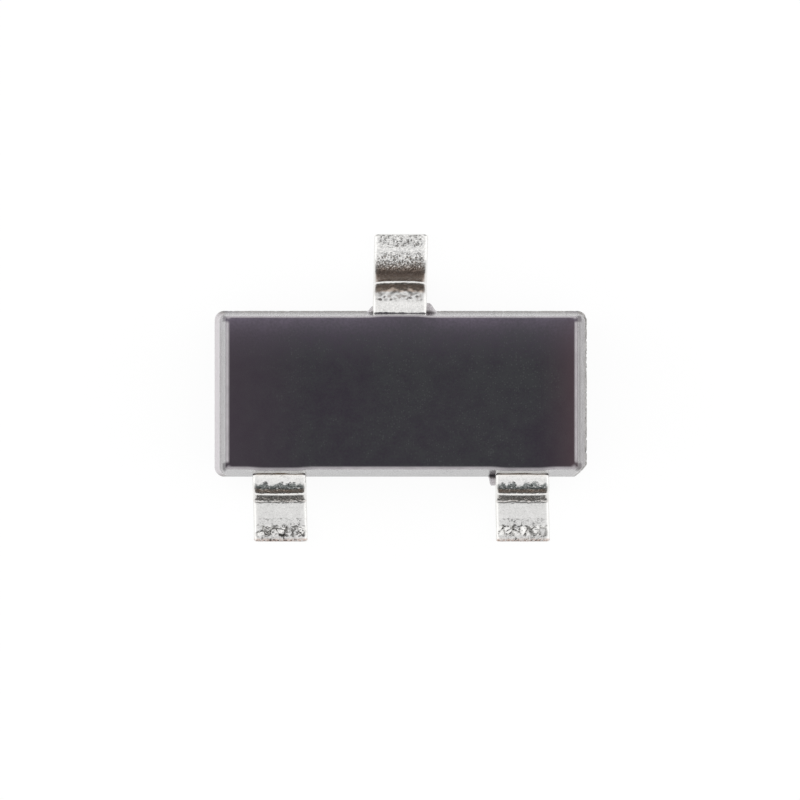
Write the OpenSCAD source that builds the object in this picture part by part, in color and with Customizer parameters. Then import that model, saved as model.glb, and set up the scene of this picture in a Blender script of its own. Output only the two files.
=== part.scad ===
// Small-signal transistor in a three-lead surface-mount moulding.
// The origin lies on the solder plane, midway between the tips of the leads.
// +Y points to the single collector lead, -Y to the base and emitter pair, and +Z up.

/* [Moulded body] */
// Length of the body at its parting line, along X
body_length = 2.90; // [2.80:0.01:3.04]
// Width of the body at its parting line, along Y
body_width = 1.295; // [1.20:0.005:1.40]
// Height of the top face above the solder plane
body_top = 1.00; // [0.92:0.01:1.12]
// Gap between the underside of the body and the solder plane
standoff = 0.05; // [0.02:0.01:0.10]
// Draft of the upper half's two end walls, in degrees
end_draft = 6; // [3:0.5:10]
// Draft of the upper half's two long walls, in degrees
side_draft = 4.5; // [3:0.5:9]
// Draft of the lower half's four walls, in degrees
lower_draft = 7; // [3:0.5:10]
// Ledge left at the -X end, where the upper half of the mould is smaller than the lower
west_ledge = 0.04; // [0.01:0.005:0.05]
// Ledge left at the +X end
east_ledge = 0.03; // [0.01:0.005:0.05]
// Ledge left on the collector lead's side
north_ledge = 0.02; // [0.01:0.005:0.04]
// Height over which the ledges slope up from the parting line
ledge_rise = 0.06; // [0.02:0.01:0.10]
// Radius of the upright corners at the parting line
parting_corner = 0.08; // [0.06:0.01:0.12]
// Radius of the upright corners at the top and bottom faces
face_corner = 0.035; // [0.025:0.005:0.05]
// Radius that softens the rim of the top and bottom faces
rim_radius = 0.012; // [0.006:0.002:0.02]

/* [Leads] */
// Thickness of the lead frame
frame_thickness = 0.11; // [0.09:0.01:0.13]
// Height of the underside of the lead frame above the solder plane
frame_height = 0.44; // [0.40:0.01:0.46]
// Width of each lead
lead_width = 0.42; // [0.36:0.01:0.48]
// Distance between the middles of the base and emitter leads
lead_pitch = 1.90; // [1.80:0.01:2.00]
// Reach of the collector lead from the parting line to the outer face of its riser
single_shoulder = 0.225; // [0.18:0.005:0.28]
// Reach of the base and emitter leads from the parting line to the outer face of their risers
pair_shoulder = 0.14; // [0.13:0.005:0.28]
// Length of the collector lead's foot, from the outer face of its riser to its tip
single_foot = 0.38; // [0.32:0.01:0.42]
// Length of the base and emitter leads' feet, from the outer faces of their risers to their tips
pair_foot = 0.36; // [0.32:0.01:0.42]
// Inside radius of the bend at each shoulder
shoulder_radius = 0.02; // [0.01:0.005:0.02]
// Inside radius of the bend at the collector lead's heel
single_heel = 0.20; // [0.06:0.01:0.22]
// Inside radius of the bends at the base and emitter leads' heels
pair_heel = 0.08; // [0.06:0.01:0.18]
// Radius of the upper edges, rolled over by the stamping punch
edge_roll = 0.03; // [0.01:0.005:0.04]

/* [Inside the moulding] */
// Length of the collector's chip paddle, along X
paddle_length = 1.10; // [0.90:0.02:1.30]
// Width of the paddle, along Y
paddle_width = 0.50; // [0.44:0.02:0.54]
// Slit between the paddle and the two bonding posts
slit_width = 0.15; // [0.11:0.01:0.18]
// Distance of the slit's middle from the middle of the body, towards the pair
slit_offset = 0.15; // [0.12:0.01:0.18]
// Length of each bonding post, along X
post_length = 0.70; // [0.60:0.02:0.78]
// Width of each bonding post, along Y
post_width = 0.24; // [0.20:0.01:0.26]
// Corner radius of the paddle and the posts
plate_corner = 0.04; // [0.02:0.01:0.06]
// Side of the square silicon chip
chip_side = 0.36; // [0.28:0.01:0.40]
// Thickness of the chip
chip_thickness = 0.15; // [0.10:0.01:0.17]
// Thickness of the solder film under the chip
solder_thickness = 0.015; // [0.010:0.001:0.020]
// Width of solder showing round the chip
solder_margin = 0.03; // [0.01:0.005:0.05]
// Diameter of the bond wires
wire_diameter = 0.025; // [0.018:0.001:0.030]
// Distance between the two wire bonds on the chip
bond_pitch = 0.18; // [0.14:0.01:0.22]
// Distance of the wire bonds from the chip's edge beside the slit
chip_bond_inset = 0.10; // [0.08:0.01:0.14]
// Distance of the wire bonds from the inner end of each post
post_bond_inset = 0.12; // [0.08:0.01:0.16]
// Slope of each wire where it runs down to its post, in degrees
wire_slope = 28; // [26:1:32]
// Radius of the loop at the top of each wire
loop_radius = 0.06; // [0.05:0.005:0.07]
// Diameter of the ball that welds each wire to the chip
ball_diameter = 0.07; // [0.05:0.005:0.09]
// Height of the ball below its shoulder
ball_height = 0.015; // [0.010:0.001:0.020]
// Diameter of the stitch that welds each wire to its post
stitch_diameter = 0.08; // [0.06:0.005:0.09]
// Thickness of the stitch
stitch_thickness = 0.008; // [0.006:0.001:0.012]

/* [Resin left at the leads] */
// Thickness of the resin left against the sides of the leads
tab_thickness = 0.07; // [0.04:0.01:0.08]
// Reach along the collector lead of the resin on its +X side
single_tab_right = 0.07; // [0.04:0.01:0.10]
// Reach along the collector lead of the resin on its -X side
single_tab_left = 0.045; // [0.03:0.005:0.10]
// Reach along the emitter lead of the resin on its -X side
emitter_tab = 0.07; // [0.04:0.01:0.10]
// Width of the resin along the wall, on the collector lead's +X side
wide_tab = 0.085; // [0.05:0.005:0.10]
// Width of the resin along the wall, at the two other places
narrow_tab = 0.055; // [0.04:0.005:0.08]

/* [Hidden] */

// Steps in each quarter turn of a rounded corner, a rolled edge and a rim
corner_steps = 6;
roll_steps = 4;
rim_steps = 3;
// Facets of a full turn
$fn = 48;

// Levels of the lead frame and what is stacked on it
frame_top = frame_height + frame_thickness;
chip_base = frame_top + solder_thickness;
chip_top = chip_base + chip_thickness;

// Places along Y, worked out from the tips inwards
tip_to_tip = single_foot + single_shoulder + body_width + pair_shoulder + pair_foot;
tip_y = tip_to_tip / 2;
body_y = pair_foot + pair_shoulder + body_width / 2 - tip_y;
slit_y = body_y - slit_offset;
paddle_y = slit_y + slit_width / 2 + paddle_width / 2;
post_y = slit_y - slit_width / 2 - post_width / 2;

// Places along X of the pair of leads, by the sign of the side that each is on
lead_x = lead_pitch / 2;
post_outer_x = lead_x + lead_width / 2;
post_x = post_outer_x - post_length / 2;

// Ends of the wires in plan, for the base on the -1 side and the emitter on the +1 side
function chip_bond(side) = [side * bond_pitch / 2, paddle_y - chip_side / 2 + chip_bond_inset];
function post_bond(side) = [side * (post_outer_x - post_length + post_bond_inset), post_y];

// Outline of a rectangle with rounded corners, as points anticlockwise about the origin
function rounded_outline(length, width, radius) = [
    for (corner = [0:3], step = [0:corner_steps])
        let (turn = 90 * (corner + step / corner_steps),
             side_x = (corner == 0 || corner == 3) ? 1 : -1,
             side_y = corner < 2 ? 1 : -1)
        [side_x * (length / 2 - radius) + radius * cos(turn),
         side_y * (width / 2 - radius) + radius * sin(turn)]
];

// The body's outline at a level: the walls lean in by their draft from the parting line, the ledges
// draw in the upper half, and the rim draws in the walls further
function body_ring(level, corner, rim_inset) =
    let (up = max(level - frame_height, 0),
         down = max(frame_height - level, 0),
         lower_lean = down * tan(lower_draft) + rim_inset,
         end_lean = up * tan(end_draft) + lower_lean,
         side_lean = up * tan(side_draft) + lower_lean,
         ledge = min(up / ledge_rise, 1),
         middle_x = ledge * (west_ledge - east_ledge) / 2,
         middle_y = body_y - ledge * north_ledge / 2)
    [for (p = rounded_outline(body_length - 2 * end_lean - ledge * (west_ledge + east_ledge),
                              body_width - 2 * side_lean - ledge * north_ledge,
                              corner))
        [p[0] + middle_x, p[1] + middle_y, level]];

// Rings round the softened rim of a face, from the wall to the face
function rim_rings(face, inward) = [
    for (step = [0:rim_steps])
        let (turn = 90 * step / rim_steps)
        body_ring(face + inward * rim_radius * (1 - sin(turn)), face_corner,
                  rim_radius * (1 - cos(turn)))
];

// Faces that join two neighbouring rings of a loft
function loft_walls(ring, count) = [
    for (i = [0:count - 1])
        let (next = (i + 1) % count)
        [ring * count + i, (ring + 1) * count + i, (ring + 1) * count + next, ring * count + next]
];

function reversed(list) = [for (i = [len(list) - 1:-1:0]) list[i]];

// Closed solid through a stack of rings that have the same number of points
module loft(rings) {
    count = len(rings[0]);
    last = len(rings) - 1;
    base = [for (i = [0:count - 1]) i];
    top = [for (i = [0:count - 1]) last * count + i];
    walls = [for (ring = [0:last - 1]) each loft_walls(ring, count)];
    polyhedron(points = [for (ring = rings) each ring], faces = concat([base], walls, [reversed(top)]));
}

// Two drafted halves that meet at the parting line, on the underside of the lead frame, where the
// lower half stands out past the upper as a sloping ledge
module body_form() {
    loft(concat(reversed(rim_rings(standoff, 1)),
                [body_ring(frame_height, parting_corner, 0),
                 body_ring(frame_height + ledge_rise, parting_corner, 0)],
                rim_rings(body_top, -1)));
}

// Resin that filled the corner between a lead and the wall and stayed on when the strip was trimmed.
// It runs width along the wall and reach along the lead, with a rounded face between.
module resin_tab(width, reach) {
    root = lead_width / 4;
    face = [for (step = [0:corner_steps])
        let (turn = 90 * step / corner_steps)
        [width * cos(turn), reach * sin(turn)]];
    linear_extrude(tab_thickness)
        polygon(concat([[-root, -root], [width, -root]], face, [[-root, reach]]));
}

module resin_tabs() {
    wall_y = body_width / 2;
    edge_x = lead_width / 2;
    translate([edge_x, body_y + wall_y, frame_height])
        resin_tab(wide_tab, single_tab_right);
    translate([-edge_x, body_y + wall_y, frame_height])
        mirror([1, 0, 0])
            resin_tab(narrow_tab, single_tab_left);
    translate([lead_x - edge_x, body_y - wall_y, frame_height])
        rotate(180)
            resin_tab(narrow_tab, emitter_tab);
}

// Cross-section of the strip: width along X, thickness along Y, with the upper edges rolled over
module strip_section() {
    half = lead_width / 2;
    roll = [for (step = [0:roll_steps])
        let (turn = 90 * step / roll_steps)
        [half - edge_roll * (1 - cos(turn)), frame_thickness - edge_roll * (1 - sin(turn))]];
    mirrored = reversed([for (p = roll) [-p[0], p[1]]]);
    polygon(concat([[-half, 0], [half, 0]], roll, mirrored));
}

// Level run of strip from one Y to another, with its underside at a height
module level_strip(from_y, to_y, underside) {
    translate([0, to_y, underside])
        rotate([90, 0, 0])
            linear_extrude(to_y - from_y)
                strip_section();
}

// Gull-wing lead along +Y, from inside the body to the tip
module formed_strip(root_y, foot_length, heel_radius) {
    riser_y = tip_y - foot_length;
    bend_y = riser_y - shoulder_radius - frame_thickness;
    bend_z = frame_height - shoulder_radius;
    heel_z = frame_thickness + heel_radius;
    level_strip(root_y, bend_y, frame_height);
    translate([0, bend_y, bend_z])
        rotate([90, 0, 90])
            rotate_extrude(angle = 90)
                translate([shoulder_radius, 0])
                    mirror([1, 0])
                        rotate(90)
                            strip_section();
    translate([0, riser_y - frame_thickness, heel_z])
        linear_extrude(bend_z - heel_z)
            strip_section();
    translate([0, riser_y + heel_radius, heel_z])
        rotate([90, 0, 90])
            rotate(180)
                rotate_extrude(angle = 90)
                    translate([heel_radius + frame_thickness, 0])
                        rotate(90)
                            strip_section();
    level_strip(riser_y + heel_radius, tip_y, 0);
}

// Flat plate of the lead frame with rounded corners
module frame_plate(length, width) {
    translate([0, 0, frame_height])
        linear_extrude(frame_thickness)
            polygon(rounded_outline(length, width, plate_corner));
}

module collector_lead() {
    color("silver") {
        translate([0, paddle_y, 0])
            frame_plate(paddle_length, paddle_width);
        formed_strip(paddle_y, single_foot, single_heel);
    }
}

// Base lead on the -1 side or emitter lead on the +1 side: a bonding post and a lead along -Y
module pair_lead(side) {
    translate([side * post_x, post_y, 0])
        frame_plate(post_length, post_width);
    translate([side * lead_x, 0, 0])
        rotate(180)
            formed_strip(-post_y, pair_foot, pair_heel);
}

module base_lead() {
    color("silver")
        pair_lead(-1);
}

module emitter_lead() {
    color("silver")
        pair_lead(1);
}

module chip() {
    color("slategray")
        translate([-chip_side / 2, paddle_y - chip_side / 2, chip_base])
            cube([chip_side, chip_side, chip_thickness]);
}

module chip_solder() {
    side = chip_side + 2 * solder_margin;
    color("lightgray")
        translate([0, paddle_y, frame_top])
            linear_extrude(solder_thickness)
                polygon(rounded_outline(side, side, solder_margin));
}

// Ball-bonded wire in its own upright plane: from the chip at the origin, over a loop, down to the
// stitch at a distance along +X and a drop below the chip's top
module bond_wire(distance, drop) {
    radius = wire_diameter / 2;
    fall = ((distance - loop_radius) * sin(wire_slope) - loop_radius) / cos(wire_slope);
    neck = fall - drop;
    run = distance / cos(wire_slope);
    rotate_extrude()
        polygon([[0, 0], [ball_diameter / 2, 0], [ball_diameter / 2, ball_height],
                 [radius, ball_height + radius], [radius, neck], [0, neck]]);
    translate([loop_radius, 0, neck])
        rotate([90, 0, 0])
            rotate(90 - wire_slope)
                rotate_extrude(angle = 90 + wire_slope)
                    translate([loop_radius, 0])
                        circle(radius);
    difference() {
        translate([loop_radius, 0, neck])
            rotate([0, wire_slope, 0])
                translate([0, 0, loop_radius])
                    rotate([0, 90, 0])
                        cylinder(r = radius, h = run);
        translate([0, -distance, -drop - distance])
            cube([2 * distance, 2 * distance, distance]);
    }
    translate([distance, 0, -drop])
        cylinder(d = stitch_diameter, h = stitch_thickness);
}

module placed_wire(side) {
    span = post_bond(side) - chip_bond(side);
    translate([chip_bond(side)[0], chip_bond(side)[1], chip_top])
        rotate(atan2(span[1], span[0]))
            bond_wire(norm(span), chip_top - frame_top);
}

module base_wire() {
    color("gold")
        placed_wire(-1);
}

module emitter_wire() {
    color("gold")
        placed_wire(1);
}

// Everything that the resin flows round
module inserts() {
    collector_lead();
    base_lead();
    emitter_lead();
    chip_solder();
    chip();
    base_wire();
    emitter_wire();
}

module body() {
    color("dimgray")
        difference() {
            union() {
                body_form();
                resin_tabs();
            }
            inserts();
        }
}

body();
collector_lead();
base_lead();
emitter_lead();
chip();
chip_solder();
base_wire();
emitter_wire();
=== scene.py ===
# A three-lead surface-mount transistor, standing on its feet and seen from straight above.
# The sections follow the way it is put together: the lead frame, what is bonded to it, and the
# moulding round them. Lengths are in millimetres until a mesh is handed over, in metres.
from math import cos, pi, radians, sin, sqrt, tan

import bpy
from mathutils import Matrix, Vector, noise


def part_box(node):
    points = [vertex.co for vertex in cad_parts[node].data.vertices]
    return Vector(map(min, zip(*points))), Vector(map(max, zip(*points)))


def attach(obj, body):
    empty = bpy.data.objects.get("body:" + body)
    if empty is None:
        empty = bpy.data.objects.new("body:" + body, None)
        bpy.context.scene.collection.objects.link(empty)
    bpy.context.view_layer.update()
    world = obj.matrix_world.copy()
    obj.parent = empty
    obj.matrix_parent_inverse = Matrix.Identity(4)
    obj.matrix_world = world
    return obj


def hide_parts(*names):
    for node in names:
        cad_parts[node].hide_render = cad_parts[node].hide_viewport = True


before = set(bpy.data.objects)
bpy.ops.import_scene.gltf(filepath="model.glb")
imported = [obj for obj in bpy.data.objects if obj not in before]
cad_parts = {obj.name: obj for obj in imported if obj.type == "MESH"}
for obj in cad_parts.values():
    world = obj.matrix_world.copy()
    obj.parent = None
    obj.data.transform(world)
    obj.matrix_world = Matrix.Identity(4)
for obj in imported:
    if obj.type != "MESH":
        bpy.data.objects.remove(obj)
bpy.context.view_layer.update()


# The leads are stamped from one strip of copper alloy, which leaves their upper edges rolled over.
# They are plated with matte tin, bent down to the board and cut to length, so the plating is thin
# and brown at the bends, scuffed at the toes, and copper shows at the cut tips.
# Shade and highlights at the bends, the rolled edges and the torn flakes are painted into the plating's
# colour.
mm = 0.001
strip_thickness = 0.11
strip_width = 0.42
roll_width = 0.034
roll_depth = 0.028
crown = 0.003
nose_radius = 0.05
nose_turn = radians(46)
inside_radius = 0.02
SINGLE_FORM = {"foot": 0.378, "bend": 0.14, "heel": 0.20, "tip_roll": 0.002, "bow": 0.012}
PAIR_FORM = {"foot": 0.355, "bend": 0.112, "heel": 0.065, "tip_roll": 0.006, "bow": 0.004}
single_lean = (-0.008, 0.005)
base_lean = (-0.004, -0.014)
emitter_lean = (0.005, -0.006)
lean_length = 0.55
bow_before = 0.15
bow_after = (0.09, 0.22)
wave_height = 0.0008
waves_per_mm = 18
facet_size = 0.016
facet_tilt = 1.5
soft_blob = 0.036
ridge_height = 0.005
crack_depth = 0.004
cell_stride = 211
plating_relief = 0.005
flake_width = 0.050
flake_length = 0.070
flake_tilt = 0.8
tip_corner = 0.018
paddle_width = 0.50
post_width = 0.24
plate_corner = 0.04
plate_edge = 0.002
grain_step = 0.005
strip_columns = 72
grain_seed = 5
noise.seed_set(grain_seed)
SINGLE_GRAIN = ((0.09, 0.11, -0.50), (0.13, 0.16, 0.65), (0.19, 0.23, 0.35), (0.27, 0.31, -1.10),
                (0.42, 0.45, 0.06), (0.50, 0.55, -0.14))
PAIR_GRAIN = ((0.12, 0.14, -0.10), (0.165, 0.185, -0.36), (0.295, 0.31, 0.45))

TIN_LIGHT = (0.75, 0.745, 0.735, 1)
TIN_GREY = (0.66, 0.655, 0.645, 1)
THIN_PLATING = (0.46, 0.345, 0.265, 1)
BARE_COPPER = (0.58, 0.47, 0.42, 1)
# Painted shade: the teal and brown darks are partly stain and oxide, and partly the dark surroundings
# reflected in the bends, painted in.
TEAL_STAIN_AND_SHADE = (0.14, 0.16, 0.155, 1)
BROWN_OXIDE_AND_SHADE = (0.20, 0.155, 0.13, 1)
# Painted highlight: the bright tin colour stands in for light caught by the bends, the rolled edges, the
# root and the flakes.
TIN_HIGHLIGHT = (0.88, 0.87, 0.85, 1)


def box_mm(node_name):
    """Lowest and highest corner of a solid, in millimetres."""
    low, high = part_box(node_name)
    return low / mm, high / mm


def steps(start, end, count):
    """Count + 1 evenly spaced values from start to end."""
    return [start + (end - start) * i / count for i in range(count + 1)]


def fade(value, start, end):
    """Smooth step from 0 at start to 1 at end."""
    t = min(max((value - start) / (end - start), 0), 1)
    return t * t * (3 - 2 * t)


def skin(name, rings, marks, sharp_angle):
    """Closed mesh through rings of equal length, with a value on every vertex for each mark."""
    count = len(rings[0])
    last = (len(rings) - 1) * count
    faces = []
    for base in range(0, last, count):
        for i in range(count):
            j = (i + 1) % count
            faces.append((base + i, base + j, base + count + j, base + count + i))
    caps = [tuple(reversed(range(count))), tuple(range(last, last + count))]
    mesh = bpy.data.meshes.new(name)
    mesh.from_pydata([point * mm for ring in rings for point in ring], [], faces + caps)
    mesh.polygons.foreach_set("use_smooth", [True] * len(mesh.polygons))
    mesh.set_sharp_from_angle(angle=sharp_angle)
    for mark, values in marks.items():
        layer = mesh.attributes.new(mark, "FLOAT", "POINT")
        layer.data.foreach_set("value", values)
    mesh.update()
    piece = bpy.data.objects.new(name, mesh)
    bpy.context.collection.objects.link(piece)
    return piece


def strip_section(left, right, width, depth):
    """Points round the strip, as (place across, height from 0 at the underside to 1 on top)."""
    rise = depth / strip_thickness
    turns = [radians(a) for a in steps(0, 90, 8)]
    under = [(x, 0) for x in steps(right, left, strip_columns // 4)]
    sides = [h * (1 - rise) for h in (0.25, 0.5, 0.75)]
    roll = [(width * (1 - cos(a)), 1 - rise * (1 - sin(a))) for a in turns]
    top = [(x, 1) for x in steps(left + width, right - width, strip_columns)[1:-1]]
    return (under + [(left, h) for h in sides] + [(left + x, h) for x, h in roll] + top
            + [(right - x, h) for x, h in reversed(roll)] + [(right, h) for h in reversed(sides)])


def formed_strip(root_y, tip_y, frame_top, form):
    """Underside and upper points (y, z) along the middle of a lead, from its root to its tip."""
    bend_radius, heel, tip_roll = form["bend"], form["heel"], form["tip_roll"]
    riser_y = tip_y - form["foot"]
    frame_base = frame_top - strip_thickness
    bend_y = riser_y - bend_radius * sin(nose_turn) - nose_radius * (1 - sin(nose_turn))
    bend_z = frame_top - bend_radius
    nose_y = riser_y - nose_radius
    nose_z = bend_z + (bend_radius - nose_radius) * cos(nose_turn)
    inside_y = riser_y - strip_thickness - inside_radius
    inside_z = frame_base - inside_radius
    heel_y = riser_y + heel
    heel_z = strip_thickness + heel
    flat_end = tip_y - tip_roll
    stations = [((min(y, inside_y), frame_base), (y, frame_top))
                for y in steps(root_y, bend_y, int((bend_y - root_y) / grain_step))]
    for turn in steps(0, pi / 2, 48)[1:]:
        if turn < nose_turn:
            over = (bend_y + bend_radius * sin(turn), bend_z + bend_radius * cos(turn))
        else:
            over = (nose_y + nose_radius * sin(turn), nose_z + nose_radius * cos(turn))
        under = (inside_y + inside_radius * sin(turn), inside_z + inside_radius * cos(turn))
        stations.append((under, over))
    for drop in steps(0, 1, 12)[1:]:
        stations.append(((riser_y - strip_thickness, inside_z + (heel_z - inside_z) * drop),
                         (riser_y, nose_z + (heel_z - nose_z) * drop)))
    for turn in steps(0, pi / 2, 44)[1:]:
        outer = heel + strip_thickness
        stations.append(((heel_y - outer * cos(turn), heel_z - outer * sin(turn)),
                         (heel_y - heel * cos(turn), heel_z - heel * sin(turn))))
    for y in steps(heel_y, flat_end, int((flat_end - heel_y) / grain_step))[1:]:
        stations.append(((y, 0), (y, strip_thickness)))
    for turn in steps(0, radians(80), 6)[1:]:
        y = flat_end + tip_roll * sin(turn)
        stations.append(((y, 0), (y, strip_thickness - tip_roll * (1 - cos(turn)))))
    return stations


def stretch(value, start, full, last, end):
    """0 up to start, 1 from full to last, and 0 again from end."""
    return fade(value, start, full) * fade(value, end, last)


def band(value, start, end, soft):
    """1 between start and end, with a soft edge on both sides."""
    return stretch(value, start - soft, start + soft, end - soft, end + soft)


def stepped(distance, first, changes):
    """A value along a lead: the first at its tip, and each change made between two distances."""
    return first + sum(change * fade(distance, start, end) for start, end, change in changes)


def facets(place, size):
    """Height of a surface broken up into small flat facets, each with its own tilt."""
    centre = noise.voronoi(place / size)[1][0] * size
    tilt = noise.noise_vector(centre * cell_stride)
    return tilt.x * (place.x - centre.x) + tilt.y * (place.y - centre.y)


def flakes(place):
    """Metal torn up in long flakes: the height, how far a flake is painted with a highlight, and how far a
    crack or pit is sunk and painted with shade.
    """
    spot = Vector((place.x / flake_width, place.y / flake_length, 0.3))
    distances, centres = noise.voronoi(spot)[:2]
    pick = noise.noise_vector(centres[0] * cell_stride)
    away = spot - centres[0]
    height = flake_tilt * flake_width * (pick.x * away.x + pick.y * away.y)
    highlight = fade(pick.z, -0.15, 0.10)
    crack = 0.55 * fade(distances[1] - distances[0], 0.22, 0.05)
    pit = 0.75 * fade(pick.z, -0.36, -0.42)
    return height, highlight, max(crack, pit)


def single_wear(to_tip, spot):
    """Marks of wear on the single lead, by the distance from its tip, with painted shade and highlights at
    the bends.
    """
    ragged = to_tip + 0.008 * noise.noise(spot * 45)
    grain = stepped(ragged, 0.80, SINGLE_GRAIN) - 0.10 * fade(to_tip, 0.365, 0.372)
    pits_from = 0.36 - 0.55 * fade(to_tip, 0.15, 0.30)
    pits = fade(noise.noise(spot * 100), pits_from, pits_from + 0.12)
    pits *= 0.8 * stretch(to_tip, 0.13, 0.18, 0.28, 0.31)
    bright = fade(noise.noise(spot * 85 + Vector((7, 3, 1))), 0.0, 0.2)
    glints = bright * fade(to_tip, 0.29, 0.25)
    # Painted light: the dark heel and bend bands are partly oxide and partly painted shade; the bend line,
    # root, tip and glints are painted highlights.
    heel_oxide_and_shade = stretch(to_tip, 0.25, 0.295, 0.370, 0.376) * (0.95 - 0.5 * fade(to_tip, 0.325, 0.365))
    heel_brown = 0.85 * stretch(to_tip, 0.215, 0.30, 0.372, 0.376)
    bend_shine = stretch(to_tip, 0.369, 0.374, 0.391, 0.397)
    bend_stain_and_shade = 0.8 * band(to_tip, 0.397, 0.404, 0.003)
    bend_oxide_and_shade = 0.95 * band(ragged, 0.393, 0.432, 0.005) * (1 - 0.3 * fade(to_tip, 0.405, 0.425))
    shoulder_brown = 0.85 * band(ragged, 0.400, 0.462, 0.008)
    dimples = 0.45 * fade(noise.noise(spot * 42), 0.0, 0.35) * band(ragged, 0.445, 0.530, 0.015)
    root_shine = (0.25 + 0.35 * bright) * fade(ragged, 0.51, 0.55)
    tip_shine = fade(to_tip, 0.035, 0.015)
    return {
        "grain": grain * fade(to_tip, 0.005, 0.02),
        "thin": max(heel_brown, shoulder_brown),
        "oxide_and_shade": max(heel_oxide_and_shade, bend_oxide_and_shade, pits, dimples),
        "stain_and_shade": bend_stain_and_shade,
        "painted_shine": max(root_shine, tip_shine, glints, bend_shine),
        "soft": fade(to_tip, 0.400, 0.410),
    }


def pair_wear(to_tip, spot):
    """Marks of wear on either lead of the pair, by the distance from its tip, with a torn toe, and with
    painted shade and highlights at the bends.
    """
    ragged = to_tip + 0.010 * noise.noise(spot * 40)
    spikes = to_tip + 0.026 * noise.noise(Vector((spot.x * 34, spot.y * 9, 0.5)))
    wavy = to_tip + 0.010 * noise.noise(Vector((spot.x * 18, 0.7, 0)))
    grain = (stepped(ragged, 0.55, PAIR_GRAIN) - 0.46 * fade(to_tip, 0.348, 0.356)
             + 0.35 * fade(to_tip, 0.378, 0.40) - 0.38 * fade(spikes, 0.435, 0.455))
    # Painted light: the dark heel, bend and shoulder bands are partly stain and partly painted shade; the
    # bend line, root and ridge are painted highlights.
    heel_stain_and_shade = 0.4 * band(ragged, 0.318, 0.350, 0.004) * fade(noise.noise(spot * 65), 0.35, 0.15)
    heel_brown = 0.4 * band(ragged, 0.318, 0.345, 0.005)
    bend_shine = stretch(to_tip, 0.355, 0.360, 0.370, 0.375)
    bend_oxide_and_shade = band(wavy, 0.372, 0.380, 0.002)
    bend_stain_and_shade = 0.5 * band(wavy, 0.372, 0.379, 0.002)
    bend_brown = 0.85 * band(to_tip, 0.376, 0.404, 0.004)
    shoulder_stain_and_shade = 0.85 * fade(to_tip, 0.396, 0.404) * fade(spikes, 0.444, 0.434)
    shoulder_stain_and_shade *= fade(noise.noise(spot * 70), 0.40, 0.22)
    root_brown = 0.2 * fade(to_tip, 0.49, 0.51)
    root_shine = fade(spikes, 0.438, 0.452) * (0.35 + 0.6 * fade(to_tip, 0.47, 0.515))
    ridge = stretch(wavy, 0.304, 0.312, 0.312, 0.321)
    ridge *= 0.35 + 0.65 * fade(noise.noise(Vector((spot.x * 11, 3.1, 0))), -0.25, 0.10)
    cut_tip = fade(to_tip, 0.030, 0.012)
    return {
        "torn": fade(ragged, 0.128, 0.112) * fade(to_tip, 0.032, 0.060),
        "grain": grain * (1 - 0.8 * ridge),
        "thin": max(heel_brown, bend_brown, root_brown),
        "cut": max(cut_tip, 0.35 * ridge),
        "stain_and_shade": max(shoulder_stain_and_shade, bend_stain_and_shade, heel_stain_and_shade),
        "oxide_and_shade": bend_oxide_and_shade,
        "painted_shine": max(root_shine, ridge, bend_shine),
        "ridge": ridge,
    }


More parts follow.
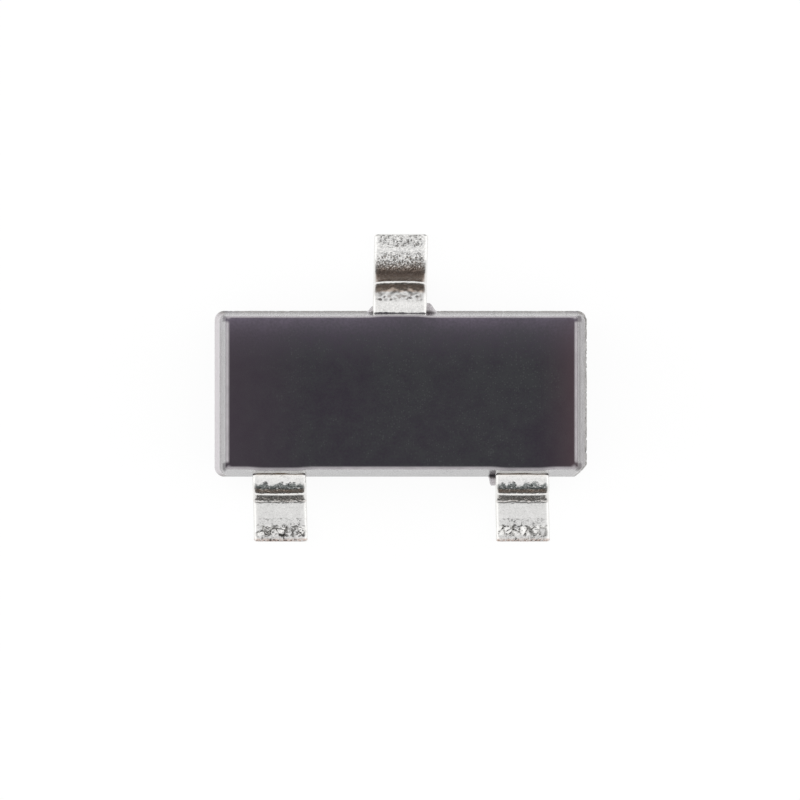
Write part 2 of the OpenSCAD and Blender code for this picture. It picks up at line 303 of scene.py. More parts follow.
def plated_lead(name, plate_y, plate_sides, form, lean, wear, place):
    """A lead with its plate inside the moulding, drawn along +Y from the plate and put in place."""
    near, far = plate_y
    left, right = plate_sides
    half = strip_width / 2
    frame_base = frame_top - strip_thickness
    turns = [radians(a) for a in steps(0, 90, 6)]
    plan = [(near + plate_corner * (1 - sin(a)), plate_corner * (1 - cos(a))) for a in reversed(turns)]
    plan += [(far - plate_corner * (1 - sin(a)), plate_corner * (1 - cos(a))) for a in turns]
    stations = [((y, frame_base), (y, frame_top),
                 strip_section(left + trim, right - trim, plate_edge, plate_edge)) for y, trim in plan]
    section = strip_section(-half, half, roll_width, roll_depth)
    stations += [(under, over, section) for under, over in formed_strip(far, tip_y, frame_top, form)]

    rings = []
    marks = {"grain": [], "thin": [], "cut": [], "stain_and_shade": [], "oxide_and_shade": [], "painted_shine": []}
    for under, over, points in stations:
        through = Vector((0, over[0] - under[0], over[1] - under[1]))
        outward = through.normalized()
        to_tip = tip_y - over[0]
        past_bend = to_tip - form["foot"]
        at_bend = stretch(past_bend, -bow_before, 0, *bow_after)
        free = over[0] > far
        crooked = lean[0] + (lean[1] - lean[0]) * fade(to_tip, lean_length, 0.0) if free else 0
        rounding = max(1 - to_tip / tip_corner, 0)
        narrow = 1 - tip_corner / half * (1 - sqrt(1 - rounding ** 2))
        ring = []
        for x, height in points:
            edge = min(abs(x) / half, 1)
            sag = form["bow"] * at_bend * edge ** 4
            p = Vector((x * narrow + crooked, under[0] - sag, under[1])) + through * height
            real = place @ p
            wear_and_painted_light = {"torn": 0, "soft": 0, "ridge": 0, "cut": 0, "stain_and_shade": 0, **wear(to_tip, real)}
            on_top = fade(half - abs(x), 0.3 * roll_width, roll_width)
            wear_and_painted_light["grain"] *= 0.2 + 0.8 * fade(half - abs(x), 0.5 * roll_width, 2 * roll_width)
            # Painted highlight along the rolled edges of the strip.
            wear_and_painted_light["painted_shine"] = max(wear_and_painted_light["painted_shine"], 0.8 * (1 - on_top))
            blobs = soft_blob * noise.noise(real / soft_blob)
            roughness = blobs if wear_and_painted_light["soft"] > 0.5 else facets(real, facet_size)
            lift = crown * (1 - edge ** 2) if free else 0
            lift += wave_height * noise.noise(real * waves_per_mm)
            lift += facet_tilt * wear_and_painted_light["grain"] * roughness
            lift += ridge_height * wear_and_painted_light["ridge"] * on_top
            # Torn flakes: cracks and pits are sunk and painted with shade, and the lighter flakes get a
            # painted highlight.
            if wear_and_painted_light["torn"] > 0:
                flake_height, highlight, crack_shade = flakes(real)
                lift += wear_and_painted_light["torn"] * on_top * (flake_height - crack_depth * crack_shade)
                wear_and_painted_light["stain_and_shade"] = max(wear_and_painted_light["stain_and_shade"], 0.6 * wear_and_painted_light["torn"] * crack_shade)
                wear_and_painted_light["oxide_and_shade"] = max(wear_and_painted_light["oxide_and_shade"], 0.6 * wear_and_painted_light["torn"] * crack_shade)
                wear_and_painted_light["painted_shine"] = max(wear_and_painted_light["painted_shine"], wear_and_painted_light["torn"] * highlight)
            ring.append(place @ (p + outward * lift * height))
            for mark in ("thin", "stain_and_shade", "oxide_and_shade"):
                wear_and_painted_light[mark] *= on_top
            for mark, values in marks.items():
                values.append(wear_and_painted_light[mark])
        rings.append(ring)
    return skin(name, rings, marks, radians(50))


def fill(tree, target, inputs):
    """Set each input of a node to a value, or wire it to another node's socket."""
    for key, value in inputs.items():
        if isinstance(value, bpy.types.NodeSocket):
            tree.links.new(value, target.inputs[key])
        else:
            target.inputs[key].default_value = value


def node(tree, kind, inputs, **settings):
    """Add a node with its settings and inputs."""
    made = tree.nodes.new(kind)
    for setting, value in settings.items():
        setattr(made, setting, value)
    fill(tree, made, inputs)
    return made


def maths(tree, operation, *values):
    """Add a Math node and give its result."""
    return node(tree, "ShaderNodeMath", dict(enumerate(values)), operation=operation).outputs[0]


def blend(tree, share, first, second):
    """Mix two colours and give the result."""
    mix = node(tree, "ShaderNodeMix", {0: share, 6: first, 7: second}, data_type="RGBA")
    return mix.outputs[2]


def spread(tree, value, low, high, new_low, new_high):
    """Stretch the part of a value between low and high over a new range."""
    values = dict(enumerate((value, low, high, new_low, new_high)))
    return node(tree, "ShaderNodeMapRange", values).outputs[0]


def vertex_mark(tree, mark):
    """Read a value that the mesh carries on its vertices."""
    return node(tree, "ShaderNodeAttribute", {}, attribute_name=mark).outputs["Fac"]


def new_group(name, inputs, outputs):
    """An empty node group with named sockets, and its inner ends."""
    group = bpy.data.node_groups.new(name, "ShaderNodeTree")
    for socket, kind in inputs.items():
        group.interface.new_socket(socket, in_out="INPUT", socket_type=kind)
    for socket, kind in outputs.items():
        group.interface.new_socket(socket, in_out="OUTPUT", socket_type=kind)
    return group, group.nodes.new("NodeGroupInput"), group.nodes.new("NodeGroupOutput")


def place_mm(tree):
    """The place on the object, in millimetres."""
    place = node(tree, "ShaderNodeTexCoord", {}).outputs["Object"]
    return node(tree, "ShaderNodeVectorMath", {0: place, "Scale": 1 / mm}, operation="SCALE").outputs[0]


def new_finish(name, metallic, ior):
    """A material with its shader, whose plain values are set on the shader itself."""
    finish = bpy.data.materials.new(name)
    finish.use_nodes = True
    shader = finish.node_tree.nodes["Principled BSDF"]
    fill(finish.node_tree, shader, {"Metallic": metallic, "IOR": ior})
    return finish, finish.node_tree, shader


VALUE = "NodeSocketFloat"
COLOUR = "NodeSocketColor"

grain_group, ends, result = new_group(
    "surface_grain", {"Per millimetre": VALUE, "Detail": VALUE}, {"Height": VALUE})
grain_noise = node(grain_group, "ShaderNodeTexNoise", {
    "Vector": place_mm(grain_group), "Scale": ends.outputs["Per millimetre"],
    "Detail": ends.outputs["Detail"]})
fill(grain_group, result, {"Height": grain_noise.outputs["Fac"]})

mottle_group, ends, result = new_group(
    "soft_mottle", {"First colour": COLOUR, "Second colour": COLOUR, "Per millimetre": VALUE,
                    "Contrast": VALUE}, {"Colour": COLOUR})
mottle_noise = node(mottle_group, "ShaderNodeTexNoise", {
    "Vector": place_mm(mottle_group), "Scale": ends.outputs["Per millimetre"], "Detail": 3})
mottle_share = maths(mottle_group, "MULTIPLY_ADD", maths(
    mottle_group, "SUBTRACT", mottle_noise.outputs["Fac"], 0.5), ends.outputs["Contrast"], 0.5)
fill(mottle_group, result, {"Colour": blend(
    mottle_group, mottle_share, ends.outputs["First colour"], ends.outputs["Second colour"])})

fleck_group, ends, result = new_group("fine_flecks", {
    "Per millimetre": VALUE, "Share": VALUE, "Size": VALUE}, {"Mask": VALUE})
fleck_cells = node(fleck_group, "ShaderNodeTexVoronoi", {
    "Vector": place_mm(fleck_group), "Scale": ends.outputs["Per millimetre"]})
fleck_pick = node(fleck_group, "ShaderNodeSeparateColor", {0: fleck_cells.outputs["Color"]})
fleck_mask = maths(fleck_group, "MULTIPLY",
                   maths(fleck_group, "LESS_THAN", fleck_pick.outputs[0], ends.outputs["Share"]),
                   maths(fleck_group, "LESS_THAN", fleck_cells.outputs["Distance"], ends.outputs["Size"]))
fill(fleck_group, result, {"Mask": fleck_mask})


def use_group(tree, group, **inputs):
    """Place a shared effect in a material, with its own values, and give its one result."""
    named = {name.replace("_", " ").capitalize(): value for name, value in inputs.items()}
    return node(tree, "ShaderNodeGroup", named, node_tree=group).outputs[0]


tin, tree, shader = new_finish("matte_tin", 1.0, 1.5)
fine = use_group(tree, grain_group, per_millimetre=70, detail=2)
coarse = use_group(tree, grain_group, per_millimetre=38, detail=3)
tin_colour = use_group(tree, mottle_group, first_colour=TIN_LIGHT, second_colour=TIN_GREY,
                       per_millimetre=22, contrast=2.0)
# Painted highlight: bright tin where the mesh marks a shine, which also lowers the roughness there.
tin_colour = blend(tree, vertex_mark(tree, "painted_shine"), tin_colour, TIN_HIGHLIGHT)
thinned = maths(tree, "MULTIPLY", vertex_mark(tree, "thin"), spread(tree, coarse, 0.3, 0.6, 0.6, 1.0))
tin_colour = blend(tree, thinned, tin_colour, THIN_PLATING)
bare = maths(tree, "MULTIPLY", vertex_mark(tree, "cut"), spread(tree, fine, 0.4, 0.55, 0.2, 1.0))
tin_colour = blend(tree, bare, tin_colour, BARE_COPPER)
# Painted shade: teal and brown darks over the bends, partly stain and oxide, partly painted shade.
oxide_and_shade_share = maths(tree, "MULTIPLY", vertex_mark(tree, "oxide_and_shade"), spread(tree, coarse, 0.30, 0.50, 0.8, 1.0))
tin_colour = blend(tree, oxide_and_shade_share, tin_colour, BROWN_OXIDE_AND_SHADE)
stain_and_shade_share = maths(tree, "MULTIPLY", vertex_mark(tree, "stain_and_shade"), spread(tree, coarse, 0.30, 0.45, 0.75, 1.0))
tin_colour = blend(tree, stain_and_shade_share, tin_colour, TEAL_STAIN_AND_SHADE)
relief = maths(tree, "MULTIPLY_ADD", fine, 0.4, coarse)
bump = node(tree, "ShaderNodeBump", {
    "Height": maths(tree, "MULTIPLY", relief, vertex_mark(tree, "grain")),
    "Distance": plating_relief * mm})
tin_rough = maths(tree, "MULTIPLY", spread(tree, fine, 0.35, 0.65, 0.16, 0.30),
                  spread(tree, vertex_mark(tree, "painted_shine"), 0.0, 1.0, 1.0, 0.55))
tin_rough = maths(tree, "MULTIPLY_ADD", oxide_and_shade_share, 0.25, tin_rough)
fill(tree, shader, {"Base Color": tin_colour, "Roughness": tin_rough, "Normal": bump.outputs[0]})

collector_low, collector_high = box_mm("collector_lead")
emitter_low, emitter_high = box_mm("emitter_lead")
tip_y = collector_high.y
frame_top = collector_high.z
half_strip = strip_width / 2
pair_x = emitter_high.x - half_strip
post_length = emitter_high.x - emitter_low.x

collector_lead = plated_lead(
    "collector_lead_plated", (collector_low.y, collector_low.y + paddle_width),
    (collector_low.x, collector_high.x), SINGLE_FORM, single_lean, single_wear, Matrix.Identity(4))
post_y = (-emitter_high.y, -emitter_high.y + post_width)
turned = Matrix.Rotation(pi, 4, "Z")
base_lead = plated_lead(
    "base_lead_plated", post_y, (half_strip - post_length, half_strip),
    PAIR_FORM, base_lean, pair_wear, Matrix.Translation((-pair_x, 0, 0)) @ turned)
emitter_lead = plated_lead(
    "emitter_lead_plated", post_y, (-half_strip, post_length - half_strip),
    PAIR_FORM, emitter_lean, pair_wear, Matrix.Translation((pair_x, 0, 0)) @ turned)
for lead, solid in ((collector_lead, "collector_lead"), (base_lead, "base_lead"),
                    (emitter_lead, "emitter_lead")):
    lead.data.materials.append(tin)
    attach(lead, "root")
    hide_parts(solid)


# The solder film is a thin sheet of soft alloy, melted on the paddle to bond the chip down.
# It sets dull and slightly crinkled.
SOLDER_LIGHT = (0.60, 0.60, 0.61, 1)
SOLDER_GREY = (0.42, 0.42, 0.44, 1)
crinkle_depth = 0.003


def dress(solid, finish):
    """Give a solid of the frame its finish."""
    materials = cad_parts[solid].data.materials
    materials.clear()
    materials.append(finish)


solder, tree, shader = new_finish("chip_solder_alloy", 1.0, 1.5)
crinkle = use_group(tree, grain_group, per_millimetre=40, detail=3)
bump = node(tree, "ShaderNodeBump", {"Height": crinkle, "Distance": crinkle_depth * mm})
fill(tree, shader, {
    "Base Color": use_group(tree, mottle_group, first_colour=SOLDER_LIGHT, second_colour=SOLDER_GREY,
                            per_millimetre=18, contrast=1.6),
    "Roughness": spread(tree, crinkle, 0.3, 0.7, 0.3, 0.5), "Normal": bump.outputs[0]})
dress("chip_solder", solder)


# The chip is a square of silicon sawn from a polished wafer. Its sides keep the fine marks of the
# saw, and its top carries a thin glassy layer.
SILICON = (0.17, 0.18, 0.21, 1)
SILICON_DARK = (0.11, 0.115, 0.14, 1)
saw_depth = 0.0006

silicon, tree, shader = new_finish("sawn_silicon", 0.0, 3.4)
saw_marks = use_group(tree, grain_group, per_millimetre=90, detail=1)
bump = node(tree, "ShaderNodeBump", {"Height": saw_marks, "Distance": saw_depth * mm})
fill(tree, shader, {
    "Base Color": use_group(tree, mottle_group, first_colour=SILICON, second_colour=SILICON_DARK,
                            per_millimetre=9, contrast=1.2),
    "Roughness": spread(tree, saw_marks, 0.3, 0.7, 0.12, 0.3), "Normal": bump.outputs[0]})
dress("chip", silicon)


# The bond wires are drawn gold, balled and welded to the chip and stitched to the posts.
# Drawing leaves them bright, with faint marks along them.
GOLD = (0.93, 0.68, 0.30, 1)
GOLD_DEEP = (0.82, 0.55, 0.20, 1)
drawing_depth = 0.0004

gold, tree, shader = new_finish("drawn_gold", 1.0, 1.5)
drawing_marks = use_group(tree, grain_group, per_millimetre=120, detail=2)
bump = node(tree, "ShaderNodeBump", {"Height": drawing_marks, "Distance": drawing_depth * mm})
fill(tree, shader, {
    "Base Color": use_group(tree, mottle_group, first_colour=GOLD, second_colour=GOLD_DEEP,
                            per_millimetre=25, contrast=1.2),
    "Roughness": spread(tree, drawing_marks, 0.3, 0.7, 0.14, 0.26), "Normal": bump.outputs[0]})
for wire in ("base_wire", "emitter_wire"):
    dress(wire, gold)


# The body is black epoxy, filled with fine mineral powder and moulded round the frame in a steel
# mould of two drafted halves. The halves meet a little out of line, which leaves a rough ledge, and
# three bits of resin stay on beside the leads.
body_low, body_high = box_mm("body")
body_base = body_low.z
body_top = body_high.z
wall_west = body_low.x
wall_east = body_high.x
wall_south = -0.70
wall_north = 0.592
parting_z = 0.44
lower_draft = radians(7)
parting_corner = 0.075
face_corner = 0.02
corner_shares = (1.3, 1.0, 1.0, 1.0)
corner_slants = (0.7, 0.0, 0.0, 0.0)
rim = 0.012
west_spread = 2.7
east_spread = 2.3
south_spread = 2.3
north_spread = 1.4
west_bends = ((parting_z, 0.0), (0.53, 0.036), (body_top, 0.0908))
east_bends = ((parting_z, 0.0), (0.84, 0.0545), (body_top, 0.0833))
south_bends = ((parting_z, 0.0), (body_top, 0.0475))
north_bends = ((parting_z, 0.0), (0.50, 0.017), (body_top, 0.0556))
edge_rough = 0.010
south_step = 0.004
south_gap = 0.019
south_gap_height = 0.16
north_step = -0.006
north_gap = 0.004
north_gap_height = 0.06
lip_z = 0.005
lip_swell = 0.008
tab_height = 0.07
COLLECTOR_RIGHT_TAB = {"reach": 0.064, "start": -0.21, "last": 0.012, "end": 0.075}
COLLECTOR_LEFT_TAB = {"reach": 0.042, "start": -0.21, "last": 0.005, "end": 0.055}
EMITTER_TAB = {"reach": 0.070, "start": -0.05, "last": 0.040, "end": 0.060}
tab_edge = 0.01
tab_painted_light = 0.85
west_flash_top = 0.54
east_flash_top = 0.56
north_flash_top = 0.48
powder_depth = 0.0008
long_columns = 420
short_columns = 150
corner_columns = 14

EPOXY_GREY = (0.027, 0.028, 0.034, 1)
EPOXY_PURPLE = (0.020, 0.012, 0.027, 1)
# Painted light: the lilac and purple colours make the top lighter towards the north and west edges.
NORTH_LIGHT = (0.160, 0.132, 0.180, 1)
WEST_LIGHT = (0.045, 0.029, 0.046, 1)
EAST_TINT = (0.066, 0.036, 0.049, 1)
FILLER = (0.052, 0.055, 0.059, 1)
# Painted light: the near-white flash colour stands in for light on the flash and for light through the thin
# resin tabs.
FLASH_PAINTED_LIGHT = (0.97, 0.92, 0.95, 1)
FLASH_DARK = (0.14, 0.115, 0.085, 1)
CHIPPED = (0.055, 0.045, 0.035, 1)
# Painted highlight: a pale line along the rims of the top.
RIM_HIGHLIGHT = (0.80, 0.755, 0.79, 1)
# Painted reflection: the warm brown of the leads reflected in the foot of the wall above them.
LEAD_REFLECTION_BROWN = (0.26, 0.20, 0.14, 1)

face_west = wall_west + west_bends[-1][1] + rim * west_spread
face_east = wall_east - east_bends[-1][1] - rim * east_spread
face_south = wall_south + south_bends[-1][1] + rim * south_spread
face_north = wall_north - north_bends[-1][1] - rim * north_spread
lead_roots = {1: (single_lean[0],), -1: (-pair_x - base_lean[0], pair_x - emitter_lean[0])}


def outline(west, east, south, north, corner):
    """Points of a rounded rectangle, each with the direction out of its wall, anticlockwise."""
    radii = [corner * share for share in corner_shares]
    se, ne, nw, sw = radii
    sides = (((west + sw, south), (east - se, south), long_columns),
             ((east, south + se), (east, north - ne), short_columns),
             ((east - ne, north), (west + nw, north), long_columns),
             ((west, north - nw), (west, south + sw), short_columns))
    centres = ((east - se, south + se), (east - ne, north - ne),
               (west + nw, north - nw), (west + sw, south + sw))
    points = []
    for quarter, ((start, end, columns), centre) in enumerate(zip(sides, centres)):
        facing = (quarter - 1) * pi / 2
        along = zip(steps(start[0], end[0], columns), steps(start[1], end[1], columns))
        points += [(Vector((x, y, 0)), Vector((cos(facing), sin(facing), 0))) for x, y in along]
        middle = Vector((*centre, 0))
        turns = [facing + turn for turn in steps(0, pi / 2, corner_columns)]
        outs = [Vector((cos(turn), sin(turn), 0)) for turn in turns]
        arc = [middle + out * radii[quarter] for out in outs]
        for i in range(1, corner_columns):
            slant = arc[0].lerp(arc[-1], i / corner_columns)
            points.append((arc[i].lerp(slant, corner_slants[quarter]), outs[i]))
    return points


def resin_tab(place, out, z):
    """How far a bit of resin stands out from the wall, from its start under a lead to its end beside it."""
    if out.y == 0 or not parting_z < z < parting_z + tab_height:
        return 0
    round_top = sqrt(1 - ((z - parting_z) / tab_height) ** 2)
    if out.y > 0:
        tab = COLLECTOR_RIGHT_TAB if place.x > 0 else COLLECTOR_LEFT_TAB
        beside = abs(place.x) - half_strip
    else:
        tab = EMITTER_TAB
        beside = pair_x - half_strip - place.x
    if beside <= tab["start"]:
        return 0
    return tab["reach"] * fade(beside, tab["end"], tab["last"]) * round_top


def over_lead(place, out, outer, inner):
    """1 on the part of the wall that a lead comes out of, fading from outer to inner past its edge."""
    if abs(out.y) < 0.99:
        return 0
    across = min(abs(place.x - x) for x in lead_roots[round(out.y)])
    return fade(across, half_strip + outer, half_strip + inner)


def root_lip(place, out, z):
    """How far the wall is drawn in over a lead: a step at the metal, a ragged gap, a swelling above."""
    if z < frame_top - 0.05:
        return 0
    share = over_lead(place, out, -0.004, -0.02)
    if out.y < 0:
        ragged = 1 + 0.5 * noise.noise(place * 9)
        step, gap, gap_height = south_step, south_gap, south_gap_height
    else:
        ragged = 1 + 0.5 * noise.noise(place * 22) + 0.5 * noise.noise(place * 60)
        step, gap, gap_height = north_step * ragged, north_gap, north_gap_height
    if z < frame_top + lip_z:
        return share * step
    foot = max(step, 0) + gap
    in_gap = fade(z, frame_top + gap_height * ragged, frame_top + lip_z)
    swell = lip_swell * fade(z, 0.75, 0.95) * over_lead(place, out, 0.06, -0.10)
    return share * foot * in_gap - swell


def lead_reflection(place, out, z):
    """How far the foot of the wall above a lead of the pair carries a painted reflection of the lead, in
    warm brown.
    """
    if out.y > 0 or z < frame_top:
        return 0
    spot = Vector((place.x, place.y, z))
    film_height = 0.14 + 0.06 * noise.noise(spot * 14)
    height_share = fade(z, frame_top + film_height, frame_top + 0.01)
    return over_lead(place, out, 0.0, -0.05) * height_share * (0.8 + 0.4 * noise.noise(spot * 30))


def reach_in(bends, z):
    """How far a wall has come in at a height, read between the bends of its profile."""
    for (low, start), (high, end) in zip(bends, bends[1:]):
        if z <= high:
            return start + (end - start) * (z - low) / (high - low)
    return bends[-1][1]


def half_outline(z, inset, corner):
    """The outline at a height of the lower half, or of the smaller upper half above the parting line."""
    if z <= parting_z:
        lean = (parting_z - z) * tan(lower_draft) + inset
        return outline(wall_west + lean, wall_east - lean, wall_south + lean, wall_north - lean, corner)
    return outline(wall_west + reach_in(west_bends, z) + inset * west_spread,
                   wall_east - reach_in(east_bends, z) - inset * east_spread,
                   wall_south + reach_in(south_bends, z) + inset * south_spread,
                   wall_north - reach_in(north_bends, z) - inset * north_spread, corner)


def flash_share(z, end):
    """How far flash covers a wall at a height: up to an end height, and just under the parting line."""
    if z < parting_z:
        return fade(z, parting_z - 0.04, parting_z - 0.02)
    return fade(z, end + 0.05, end)


rim_turns = steps(0, pi / 2, 6)
levels = [(body_base, rim + 0.004)]
levels += [(body_base + rim * (1 - cos(a)), rim * (1 - sin(a))) for a in rim_turns]
levels += [(z, 0) for z in steps(body_base + rim, parting_z, 10)[1:]]
levels += [(z, 0) for z in steps(parting_z, frame_top, 12)[1:]]
levels += [(frame_top + lip_z - 0.001, 0), (frame_top + lip_z + 0.0005, 0)]
levels += [(z, 0) for z in steps(frame_top + lip_z + 0.004, body_top - rim, 30)]
levels += [(body_top - rim * (1 - sin(a)), rim * (1 - cos(a))) for a in rim_turns[1:]]
levels += [(body_top, rim * inward) for inward in (1.2, 1.5, 2.0, 2.6)]

rings = []
marks = {"flash": [], "painted_light": [], "rough": [], "wear_and_painted_light": [], "polished": [], "lead_reflection": []}
for z, inset in levels:
    corner = parting_corner + (face_corner - parting_corner) * fade(abs(z - parting_z), 0.0, 0.45)
    on_rim = inset / rim if z > 0.5 * body_top else 0
    # Painted highlight: a pale line along the rims of the top, strongest on the ends.
    end_highlight = fade(z, 0.92, 0.97) * (0.3 + 0.6 * fade(on_rim, 0, 0.2)) * fade(on_rim, 1.0, 0.40)
    side_highlight = fade(z, 0.95, 0.98) * fade(on_rim, 1.0, 0.35)
    rough_height = fade(z, 0.60, 0.50) if z > parting_z else fade(z, parting_z - 0.05, parting_z - 0.02)
    polished = 1 if body_base < z < body_top else 0
    ring = []
    for place, out in half_outline(z, inset, corner):
        tall_spot = Vector((place.x, place.y, 0.3 * z))
        rough_side = rough_height * max(out.x, 0.35 * out.y * fade(z, 0.50, 0.47), 0)
        dents = noise.noise(tall_spot * 40) + 0.6 * noise.noise(tall_spot * 95)
        tab = resin_tab(place, out, z)
        out_by = tab - root_lip(place, out, z) + edge_rough * rough_side * min(dents, 0)
        ring.append(place + out * out_by + Vector((0, 0, z)))
        along_end = min(place.y - face_south, face_north - place.y)
        along_side = min(place.x - face_west, face_east - place.x)
        west_flash = flash_share(z, west_flash_top) * fade(-out.x, 0.02, 0.25)
        east_flash = flash_share(z, east_flash_top) * fade(out.x, 0.02, 0.25)
        north_flash = flash_share(z, north_flash_top) * fade(out.y, 0.1, 0.5)
        north_flash *= fade(along_side, -0.03, 0.10)
        flash = max(west_flash, east_flash, north_flash, min(tab / tab_edge, 1))
        reflection_share = lead_reflection(place, out, z)
        end_share = (0.05 + 0.95 * fade(along_end, 0.015, 0.040)) * fade(abs(out.x), 0.0, 1.0)
        side_share = (0.85 * max(-out.y, 0) + max(out.y, 0)) * (1 - 0.2 * over_lead(place, out, 0.06, -0.10))
        dull_corner = 0.95 * fade(along_end, 0.035, 0.015) * fade(z, 0.70, 0.85) * abs(out.x)
        dull_east = (0.36 + 0.20 * flash) * max(out.x, 0)
        gloss = polished * (1 - dull_east) * (1 - 0.45 * reflection_share) * (1 - dull_corner)
        # Painted light: flash on the west wall is painted nearly white, less on the east and north, and the
        # resin tabs pale.
        east_painted_light = 0.22 * out.x + (out.x * out.y) ** 2
        wall_painted_light = max(-1.1 * out.x, east_painted_light, 0.25 * out.y)
        marks["flash"].append(flash)
        marks["painted_light"].append(tab_painted_light if tab > 0 else wall_painted_light)
        marks["rough"].append(rough_side * fade(dents, -0.05, -0.30))
        marks["wear_and_painted_light"].append(max(end_share * end_highlight, side_share * side_highlight))
        marks["lead_reflection"].append(reflection_share)
        marks["polished"].append(gloss)
    rings.append(ring)
body = skin("moulded_body", rings, marks, radians(60))

epoxy, tree, shader = new_finish("black_epoxy", 0.0, 1.42)
powder = use_group(tree, grain_group, per_millimetre=110, detail=2)
cloud = use_group(tree, grain_group, per_millimetre=9, detail=3)
body_place = node(tree, "ShaderNodeSeparateXYZ", {0: place_mm(tree)})
east_west, north_south, height = body_place.outputs

patches = use_group(tree, grain_group, per_millimetre=1.6, detail=4)
grit = use_group(tree, grain_group, per_millimetre=48, detail=3)
uneven = maths(tree, "MULTIPLY_ADD", maths(tree, "SUBTRACT", cloud, 0.5), 0.5, patches)
patchy = maths(tree, "MULTIPLY_ADD", maths(tree, "SUBTRACT", grit, 0.5), 0.8, uneven)
epoxy_colour = blend(tree, spread(tree, patchy, 0.30, 0.70, 0.0, 1.0), EPOXY_GREY, EPOXY_PURPLE)
specks = use_group(tree, fleck_group, per_millimetre=55, share=0.45, size=0.30)
specks = maths(tree, "MULTIPLY", specks, spread(tree, uneven, 0.52, 0.40, 0.0, 0.8))
epoxy_colour = blend(tree, specks, epoxy_colour, FILLER)
# Painted light: the top is painted lighter towards the west edge.
west_light_share = spread(tree, east_west, -0.70, face_west, 0.0, 0.85)
epoxy_colour = blend(tree, west_light_share, epoxy_colour, WEST_LIGHT)
to_east = maths(tree, "POWER", spread(tree, east_west, 1.0, face_east, 0.0, 1.0), 2.0)
epoxy_colour = blend(tree, to_east, epoxy_colour, EAST_TINT)
# Painted light: the top is painted lighter and lilac towards the north edge, less over the lead and less
# down the walls.
wide_north_light_share = maths(tree, "POWER", spread(tree, north_south, 0.08, face_north, 0.0, 0.71), 2.0)
near_north_light_share = maths(tree, "POWER", spread(tree, north_south, 0.36, face_north, 0.0, 0.57), 2.0)
beside_lead = spread(tree, maths(tree, "ABSOLUTE", east_west), 0.05, half_strip + 0.15, 0.35, 1.0)
north_light_share = maths(tree, "MULTIPLY_ADD", near_north_light_share, beside_lead, wide_north_light_share)
north_light_share = maths(tree, "MULTIPLY", north_light_share, spread(tree, patchy, 0.3, 0.7, 0.7, 1.3))
north_light_share = maths(tree, "MULTIPLY", north_light_share, spread(tree, height, 0.97, body_top, 0.45, 1.0))
epoxy_colour = blend(tree, north_light_share, epoxy_colour, NORTH_LIGHT)

speckle = use_group(tree, grain_group, per_millimetre=60, detail=2)
# Painted light: the flash colour runs from dark olive to painted near-white.
speckled = maths(tree, "MULTIPLY_ADD", speckle, 0.3, vertex_mark(tree, "painted_light"))
painted_light = spread(tree, speckled, 0.25, 1.05, 0.0, 1.0)
flash_colour = blend(tree, painted_light, FLASH_DARK, FLASH_PAINTED_LIGHT)
epoxy_colour = blend(tree, vertex_mark(tree, "flash"), epoxy_colour, flash_colour)
epoxy_colour = blend(tree, vertex_mark(tree, "rough"), epoxy_colour, CHIPPED)
# Painted highlight along the rims of the top.
wear_and_painted_light = maths(tree, "MULTIPLY", vertex_mark(tree, "wear_and_painted_light"), spread(tree, cloud, 0.35, 0.6, 0.85, 1.0))
epoxy_colour = blend(tree, wear_and_painted_light, epoxy_colour, RIM_HIGHLIGHT)
# Painted reflection of the leads in the foot of the wall above them.
epoxy_colour = blend(tree, vertex_mark(tree, "lead_reflection"), epoxy_colour, LEAD_REFLECTION_BROWN)
matte = spread(tree, cloud, 0.3, 0.7, 0.36, 0.46)
polish = maths(tree, "MULTIPLY", vertex_mark(tree, "polished"), 0.35)
bump = node(tree, "ShaderNodeBump", {"Height": powder, "Distance": powder_depth * mm})
fill(tree, shader, {"Base Color": epoxy_colour, "Roughness": maths(tree, "SUBTRACT", matte, polish),
                    "Normal": bump.outputs[0]})
body.data.materials.append(epoxy)
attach(body, "root")
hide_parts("body")


# The floor is a sheet of plain white paper that lets the view through from below, and a long soft
# light overhead runs from end to end of the part, with darker surroundings beyond the lead tips.
floor_reach = 1500
floor_drop = 0.002
FLOOR = (0.85, 0.85, 0.85, 1)
FLOOR_SHADE = (0.12, 0.12, 0.12, 1)
floor_glow = 0.93
overhead = 1.1
side_panels = 0.2
surroundings = 0.16

floor_mesh = bpy.data.meshes.new("floor")
floor_corners = [Vector((x * floor_reach, y * floor_reach, -floor_drop)) * mm
                 for x, y in ((-1, -1), (1, -1), (1, 1), (-1, 1))]
floor_mesh.from_pydata(floor_corners, [], [(0, 1, 2, 3)])
floor = bpy.data.objects.new("floor", floor_mesh)
bpy.context.collection.objects.link(floor)

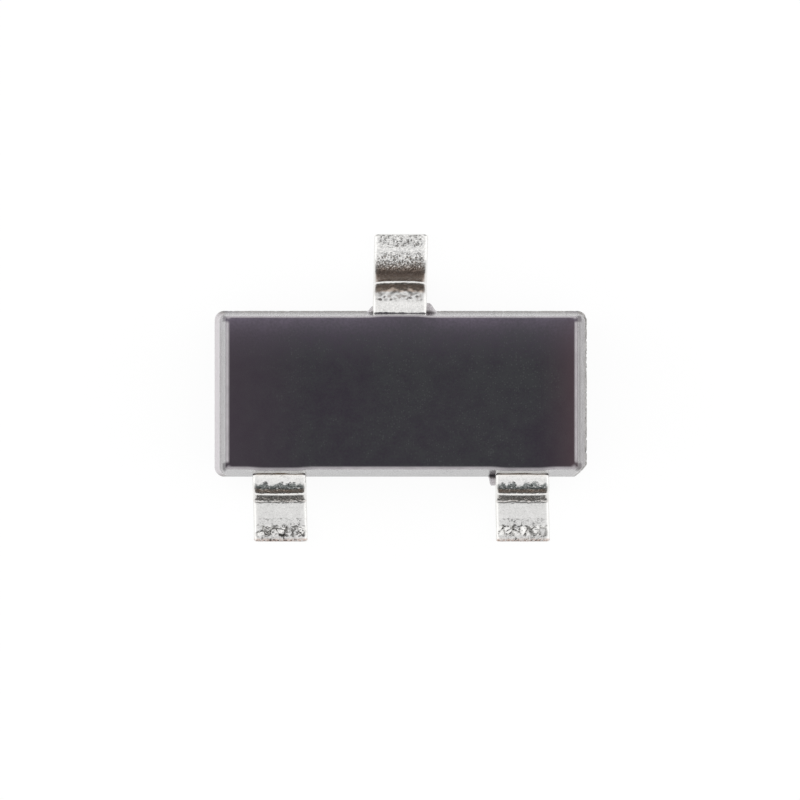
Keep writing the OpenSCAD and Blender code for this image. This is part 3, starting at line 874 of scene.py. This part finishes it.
paper = bpy.data.materials.new("white_paper")
paper.use_nodes = True
tree = paper.node_tree
tree.nodes.clear()
path = node(tree, "ShaderNodeLightPath", {})
seen = maths(tree, "MAXIMUM", path.outputs["Is Camera Ray"],
             maths(tree, "MAXIMUM", path.outputs["Is Glossy Ray"], path.outputs["Is Transmission Ray"]))
plain = node(tree, "ShaderNodeBsdfDiffuse", {"Color": FLOOR})
glow = node(tree, "ShaderNodeEmission", {"Strength": floor_glow})
shade = node(tree, "ShaderNodeBsdfDiffuse", {"Color": FLOOR_SHADE})
white = node(tree, "ShaderNodeAddShader", {0: glow.outputs[0], 1: shade.outputs[0]})
sheet = node(tree, "ShaderNodeMixShader", {0: seen, 1: plain.outputs[0], 2: white.outputs[0]})
back_side = node(tree, "ShaderNodeNewGeometry", {}).outputs["Backfacing"]
clear = node(tree, "ShaderNodeBsdfTransparent", {})
mix = node(tree, "ShaderNodeMixShader", {0: back_side, 1: sheet.outputs[0], 2: clear.outputs[0]})
node(tree, "ShaderNodeOutputMaterial", {"Surface": mix.outputs[0]})
floor_mesh.materials.append(paper)

studio = bpy.data.worlds.new("studio")
studio.use_nodes = True
bpy.context.scene.world = studio
tree = studio.node_tree
towards = node(tree, "ShaderNodeTexCoord", {}).outputs["Generated"]
direction = node(tree, "ShaderNodeSeparateXYZ", {0: towards})
off_axis = maths(tree, "ABSOLUTE", direction.outputs["Y"])
sideways = maths(tree, "ABSOLUTE", direction.outputs["X"])
panels = maths(tree, "MULTIPLY_ADD", spread(tree, sideways, 0.55, 0.85, 0.0, 1.0), side_panels, overhead)
level = maths(tree, "MULTIPLY", panels, spread(tree, off_axis, 0.05, 0.80, 1.0, surroundings))
fill(tree, tree.nodes["Background"], {"Color": (1, 1, 1, 1), "Strength": level})


# The camera stands far above the part with a long lens, so that lines along the view hardly draw
# together. It is tipped a little towards the pair of leads and shows the part at a set scale.
camera_distance = 120
aim = Vector((-0.004, -0.093, 0))
tip_south = radians(1.24)
tip_west = radians(0.24)
pixels_per_mm = 127.9
frame_pixels = 800
sensor = 36
nearest = 10
farthest = 10000

camera = bpy.data.objects.new("camera", bpy.data.cameras.new("camera"))
camera.data.sensor_width = sensor
camera.data.lens = sensor * pixels_per_mm * camera_distance / frame_pixels
camera.data.clip_start = nearest * mm
camera.data.clip_end = farthest * mm
back = Vector((-sin(tip_west), -sin(tip_south), 1)).normalized()
rightward = Vector((0, 1, 0)).cross(back).normalized()
upward = back.cross(rightward)
camera_turn = Matrix((rightward, upward, back)).transposed().to_4x4()
camera.matrix_world = Matrix.Translation((aim + back * camera_distance) * mm) @ camera_turn
bpy.context.collection.objects.link(camera)
bpy.context.scene.camera = camera
bpy.context.scene.view_settings.view_transform = "Standard"
